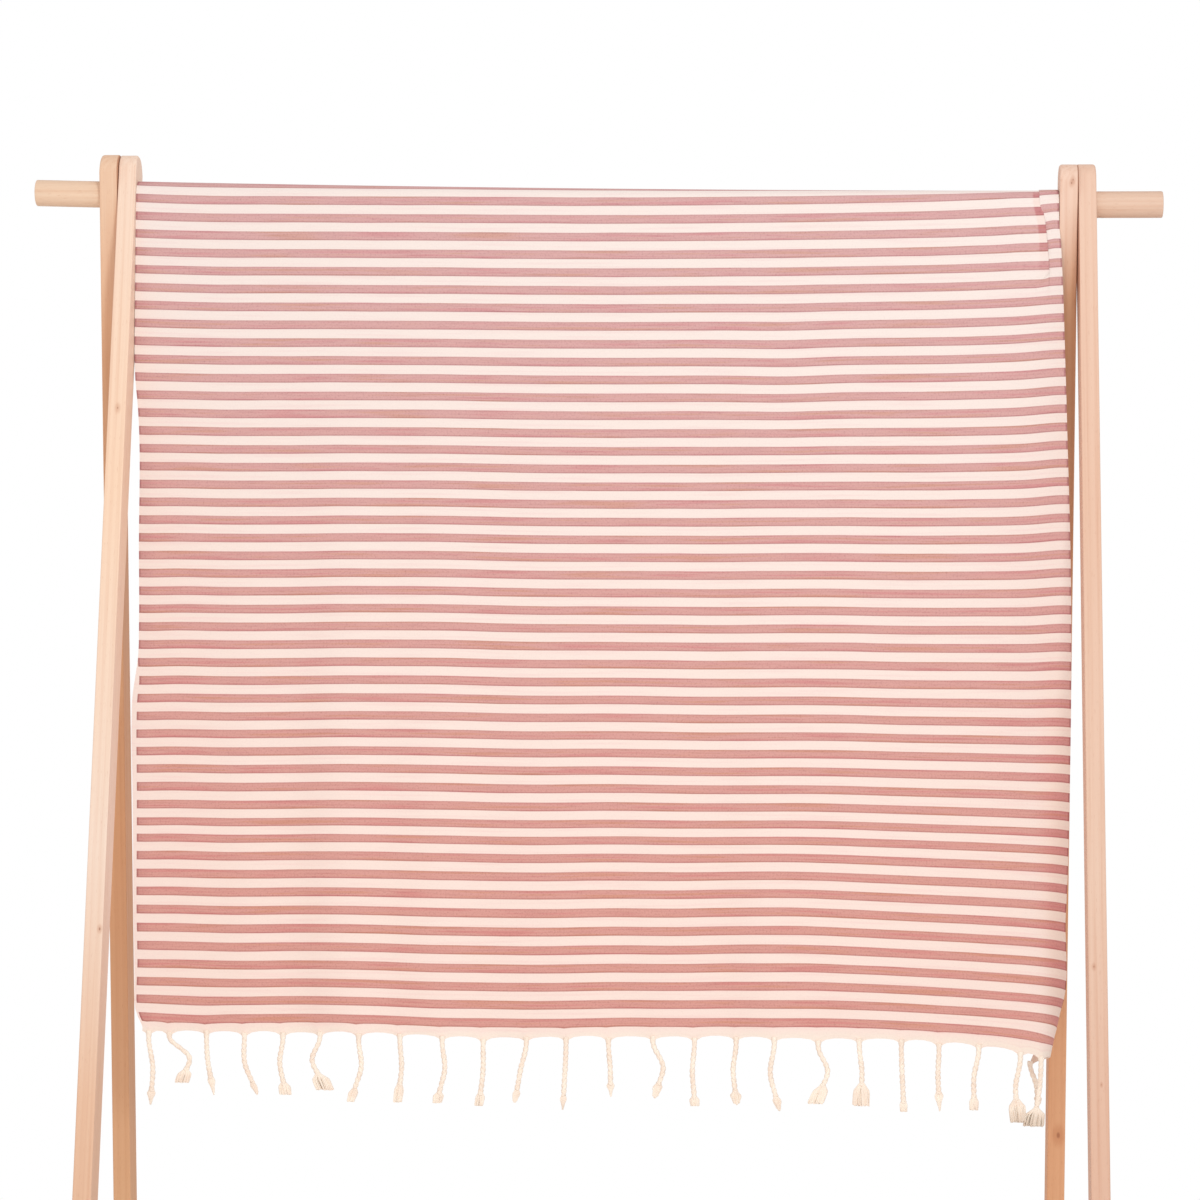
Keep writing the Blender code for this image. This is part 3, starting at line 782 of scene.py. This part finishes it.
def clothFinish():
    # the UV map holds the place across the sheet, 0 to 1, and the cloth's length below the rail
    look = clothLook
    finish = Finish("wovenCotton", 0.9, sheen=0.08, specular=0.15)
    place = finish.node("ShaderNodeUVMap", uv_map="UVMap")
    across, along = finish.axis(place, 0), finish.axis(place, 1)
    noises = {name: finish.noise(place, *look[name]) for name in ("wander", "slub", "patch", "fleck")}

    def tinted(colour, rows):
        for name, low, high, share, tint in rows:
            colour = finish.tint(finish.span(noises[name], low, high, 0.0, share), colour, look[tint])
        return colour

    def nearEdge(place, start, end, share):
        return finish.span(place, half - start, half - end, 0.0, share)

    # the bands: part is the place within one, 0 at its middle
    woven = finish.plus(along, finish.times(finish.minus(noises["wander"], 0.5), look["bandWander"]))
    part = finish.maths("FRACT", finish.plus(finish.times(woven, 1 / stripes["pitch"]), 0.5))
    part = finish.minus(part, 0.5)
    fromMiddle = finish.maths("ABSOLUTE", part)
    half = stripes["roseShare"] / 2
    rose = finish.span(fromMiddle, half - look["bandBlur"], half + look["bandBlur"], 1.0, 0.0)
    bareFrom = stripes["pitch"] * (stripes["bands"] + look["hemBare"])
    striped = finish.times(finish.maths("LESS_THAN", along, bareFrom),
                           finish.maths("GREATER_THAN", along, look["backEnd"]))
    # the left selvedge is bare in the lower half, widest where it starts
    bare = 0.0
    for start, end, wider in look["bareSteps"]:
        bare = finish.plus(bare, finish.span(along, start, end, 0.0, wider))
    rose = finish.times(rose, striped, finish.maths("GREATER_THAN", across, bare))
    # slubs and uneven dye along the weft, and a fine fleck from the warp
    # from the rail to the hem the tones are painted darker and warmer, as shade
    down = finish.span(along, 0.0, towel["frontDrop"])
    roseTone = tinted(finish.blend(down, look["roseTop"], look["roseLow"]), look["roseTints"])
    start, end = (stripes["pitch"] * (stripes["bands"] + at) for at in look["hemTone"])
    creamTone = finish.blend(down, look["creamTop"], look["creamLow"])
    creamTone = finish.blend(finish.span(along, start, end), creamTone, look["hem"])
    creamTone = tinted(creamTone, look["creamTints"])
    # each rose band is a shade deeper along its edges, most at its lower one, and at the selvedges
    inward = finish.maths("MINIMUM", finish.minus(across, bare), finish.minus(1.0, across))
    edging = finish.plus(nearEdge(fromMiddle, *look["bandEdge"]), nearEdge(part, *look["bandFoot"]),
                         finish.span(inward, *look["selvedge"], 1.0, 0.0),
                         finish.span(across, *look["leftShade"], 0.0))
    roseTone = finish.tint(finish.maths("MINIMUM", edging, 1.0), roseTone, look["shade"])
    # painted shade on the lower right edge, where it curls away from the light
    curled = finish.times(finish.span(across, *look["curlAcross"]),
                          finish.span(along, *look["curlAlong"]))
    roseTone = finish.tint(curled, roseTone, look["curlShadeRose"])
    creamTone = finish.tint(curled, creamTone, look["curlShadeCream"])
    # left of the pleat's fold the layer under it shows through: painted shade where the doubled cloth
    # lets less light through
    doubled = finish.times(finish.span(across, *look["doubledAcross"]),
                           finish.maths("LESS_THAN", across, look["doubledEnd"]),
                           finish.span(along, *look["doubledAlong"]),
                           finish.span(along, *look["doubledFade"], 1.0, 0.0))
    roseTone = finish.tint(doubled, roseTone, look["throughRose"])
    creamTone = finish.tint(doubled, creamTone, look["throughCream"])
    colour = finish.blend(rose, creamTone, roseTone)
    # painted shade: a thin dark line in the fold, and the last rose bands end dark at the right edge,
    # where it curls away
    foldAway = finish.maths("ABSOLUTE", finish.minus(across, look["foldAcross"]))
    foldMark = finish.times(finish.span(foldAway, *look["foldWidth"], look["foldShare"], 0.0),
                            finish.span(along, *look["foldFade"], 1.0, 0.0),
                            finish.span(along, *look["foldAlong"]))
    colour = finish.tint(foldMark, colour, look["foldShade"])
    endMark = finish.times(finish.span(across, *look["endAcross"]),
                           finish.span(along, *look["endAlong"]), rose)
    finish.colour(finish.tint(endMark, colour, look["endShade"]))
    # plain weave: weft ribs crossed by finer warp
    weft = finish.maths("SINE", finish.times(along, 2 * math.pi / look["weftRib"]))
    warp = finish.maths("SINE", finish.times(across, 2 * math.pi / look["warpRib"]))
    height = finish.plus(finish.times(weft, look["weftHeight"]), finish.times(warp, look["warpHeight"]),
                         finish.times(noises["slub"], look["slubHeight"]),
                         finish.times(noises["fleck"], look["fleckHeight"]))
    finish.bump(height, *look["bump"])
    return finish.material


def makeTowel():
    columns, rows = clothColumns(), clothRows()
    clearSelection()
    wide, long = len(columns) - 1, len(rows) - 1
    bpy.ops.mesh.primitive_grid_add(x_subdivisions=wide, y_subdivisions=long, size=1)
    cloth = bpy.context.object
    cloth.name = "towelCloth"
    print("cloth grid", len(columns), "by", len(rows))
    spots = {}
    for vert in cloth.data.vertices:
        column = columns[round((vert.co.x + 0.5) * wide)]
        place, share = rows[round((vert.co.y + 0.5) * long)]
        vert.co, along = place(column, share)
        spots[vert.index] = (column, along)
    uv = cloth.data.uv_layers["UVMap"].data
    for loop in cloth.data.loops:
        uv[loop.index].uv = spots[loop.vertex_index]
    modify(cloth, "SOLIDIFY", thickness=towel["thickness"], offset=0)
    smoothPiece(cloth, towel["hardEdge"])
    cloth.data.materials.append(clothFinish())
    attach(cloth, "root")
    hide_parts("towel_cloth")
    return cloth


cordLook = {
    # two plies laid together; how much they vary is a share of their own size
    "ply": 0.0020, "plyVaries": 0.04, "lay": 0.00105, "layVaries": 0.08, "twist": 0.0115,
    "stepsPerMm": 0.8, "sway": 0.002, "inCloth": 0.0055,
    "looseFor": 0.020, "looseLay": 0.35, "loosePly": 0.15,    # hardly twisted below the root
    "gatheredFor": 0.009, "gatheredPly": 0.35,
    "plainEnd": 0.80,           # where a cord with no knot frays, down its drop
    "knotRadius": 0.0014, "knotWave": 0.0005, "knotHeight": 0.0015, "knotPly": 0.0016,
    "knotSteps": 24, "knotTurns": 2,
    # a tuft's threads thicken with its width and thin to their ends; a point's outer ones are short
    "tuftStrands": 26, "strandsPerMm": 2.6, "tuftSteps": 6, "tuftNeck": 0.0016, "tuftFlat": 0.5,
    "tuftThread": 0.00085, "threadPerWidth": 22, "threadThins": 0.35, "wiggle": 0.0004,
    "endVaries": 0.10, "pointedBelow": 0.7, "pointBy": 0.45,
    "pale": tone(255, 246, 233), "warm": tone(249, 235, 221),
    # the greyer tone for the lowest tufts, below a height, is painted shade
    "lowTuftShade": tone(228, 214, 198), "fibreShade": tone(230, 210, 190),
    "lowTuftShadeBelow": (0.432, 0.408), "patch": 60.0, "patchFrom": (0.35, 0.65),
    "fibre": (1500, 1500, 380), "fibreFrom": (0.5, 0.75), "fibreShare": 0.40, "bump": (0.4, 0.0003),
}


def yarnFinish():
    look = cordLook
    finish = Finish("twistedYarn", 0.9, sheen=0.15, specular=0.2)
    place = finish.ownPlace()
    fibre, patch = finish.noise(place, look["fibre"]), finish.noise(place, look["patch"])
    colour = finish.blend(finish.span(patch, *look["patchFrom"]), look["pale"], look["warm"])
    # the lowest tufts are painted greyer, as shade
    low = finish.span(finish.axis(place, 2), *look["lowTuftShadeBelow"])
    colour = finish.blend(low, colour, look["lowTuftShade"])
    dark = finish.span(fibre, *look["fibreFrom"], 0.0, look["fibreShare"])
    finish.colour(finish.blend(dark, colour, look["fibreShade"]))
    finish.bump(fibre, *look["bump"])
    return finish.material


def addThread(curve, points, radii):
    spline = curve.splines.new("POLY")
    spline.points.add(len(points) - 1)
    for point, place, radius in zip(spline.points, points, radii):
        point.co = (*place, 1)
        point.radius = radius / curve.bevel_depth


def aroundZ(angle, radius, z=0.0):
    return Vector((math.cos(angle) * radius, math.sin(angle) * radius, z))


def addTassel(curve, root, tassel, turn):
    # two twisted plies from a gathered root down to a knot, and a frayed tuft below
    look = cordLook
    middle, end, drop, tuft = (value / 1000 for value in tassel[1:5])
    knot, tip = tassel[5:]
    sway = random.uniform(-look["sway"], look["sway"])
    driftLine = smoothLine([(0, 0), (0.10, 0), (0.50, middle), (0.80, 0.4 * middle + 0.6 * end),
                            (1, end)])

    def centre(share):
        return Vector((root[0] + driftLine(share), root[1] + sway * share, root[2] - share * drop))

    cordEnd = knot if knot else look["plainEnd"]
    steps = int(drop * cordEnd * 1000 * look["stepsPerMm"])
    phase = random.uniform(0, 6)
    for side in (0, math.pi):
        points, radii = [], []
        for step in range(steps + 1):
            share = cordEnd * step / steps
            twisted = ease(share * drop / look["looseFor"])
            gathered = 1 - ease(share * drop / look["gatheredFor"])
            angle = phase + side + turn * 2 * math.pi * share * drop / look["twist"]
            lay = look["lay"] * (look["looseLay"] + (1 - look["looseLay"]) * twisted)
            lay *= random.uniform(1 - look["layVaries"], 1 + look["layVaries"])
            ply = look["ply"] * (1 + look["loosePly"] * (1 - twisted) + look["gatheredPly"] * gathered)
            ply *= random.uniform(1 - look["plyVaries"], 1 + look["plyVaries"])
            points.append(centre(share) + aroundZ(angle, lay))
            radii.append(ply)
        addThread(curve, points, radii)
    if knot:
        knotCentre = centre(cordEnd + 0.01)
        lean = random.uniform(0, 3)
        points = []
        for step in range(look["knotSteps"] + 1):
            angle = 2 * math.pi * look["knotTurns"] * step / look["knotSteps"]
            out = look["knotRadius"] + look["knotWave"] * math.cos(1.5 * angle + lean)
            rise = look["knotHeight"] * math.sin(1.5 * angle)
            points.append(knotCentre + aroundZ(angle + lean, out, rise))
        addThread(curve, points, [look["knotPly"]] * len(points))
    strands = int(look["tuftStrands"] + look["strandsPerMm"] * tuft * 1000)
    thread = look["tuftThread"] * (1 + look["threadPerWidth"] * tuft)
    pointed = 1 - tip if tip < look["pointedBelow"] else 0
    for strand in range(strands):
        # side by side across the tuft, so that it stays dense
        offset = 2 * (strand + random.random()) / strands - 1
        depth = random.uniform(-1, 1) * math.sqrt(1 - 0.8 * offset * offset)
        shorter = look["endVaries"] * random.random() + look["pointBy"] * pointed * abs(offset)
        length = (1 - cordEnd) * (1 - shorter)
        wiggle = random.uniform(-look["wiggle"], look["wiggle"])
        points, radii = [], []
        for step in range(look["tuftSteps"] + 1):
            part = step / look["tuftSteps"]
            # it opens below the knot, and its lower part narrows or widens to the tip
            wide = look["tuftNeck"] + (tuft / 2 - look["tuftNeck"]) * ease(part * 2.2 + 0.1)
            wide *= 1 + (tip - 1) * ease((part - 0.35) / 0.65)
            spread = Vector((offset * wide, depth * wide * look["tuftFlat"], 0))
            point = centre(cordEnd + length * part) + spread
            point.x += wiggle * math.sin(part * 5)
            points.append(point)
            radii.append(thread * (1 - look["threadThins"] * part))
        addThread(curve, points, radii)


def makeFringe(name, node, place, rows):
    clearSelection()
    bpy.ops.curve.primitive_bezier_curve_add(location=(0, 0, 0))
    fringe = bpy.context.object
    fringe.name = name
    curve = fringe.data
    curve.splines.clear()
    curve.dimensions = "3D"
    curve.bevel_depth = 0.001
    curve.bevel_resolution = 1
    curve.use_fill_caps = True
    for index, tassel in enumerate(rows):
        root = Vector(place(tassel[0] / 1000))
        root.z += cordLook["inCloth"]
        addTassel(curve, root, tassel, -1 if index % 3 else 1)    # every third twists the other way
    pickPiece(fringe)
    bpy.ops.object.convert(target="MESH")
    fringe = bpy.context.object
    bpy.ops.object.shade_smooth()
    fringe.data.materials.clear()
    fringe.data.materials.append(yarnFinish())
    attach(fringe, "root")
    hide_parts(node)
    print(name, "triangles:", sum(len(face.vertices) - 2 for face in fringe.data.polygons))
    return fringe


placeCamera()
lightStudio()
layFloor()
print("studio ready")
makeRail()
for leg in legs:
    makeLeg(leg)
print("rack made")
cloth = makeTowel()
frontFringe = makeFringe("fringeFront", "fringe_front",
                         lambda across: frontPlace(across, 0)[0], tassels)
backFringe = makeFringe("fringeBack", "fringe_back", lambda across: backPlace(across, 1)[0],
                        [(1000 - tassel[0], *tassel[1:]) for tassel in tassels])
print("towel made")
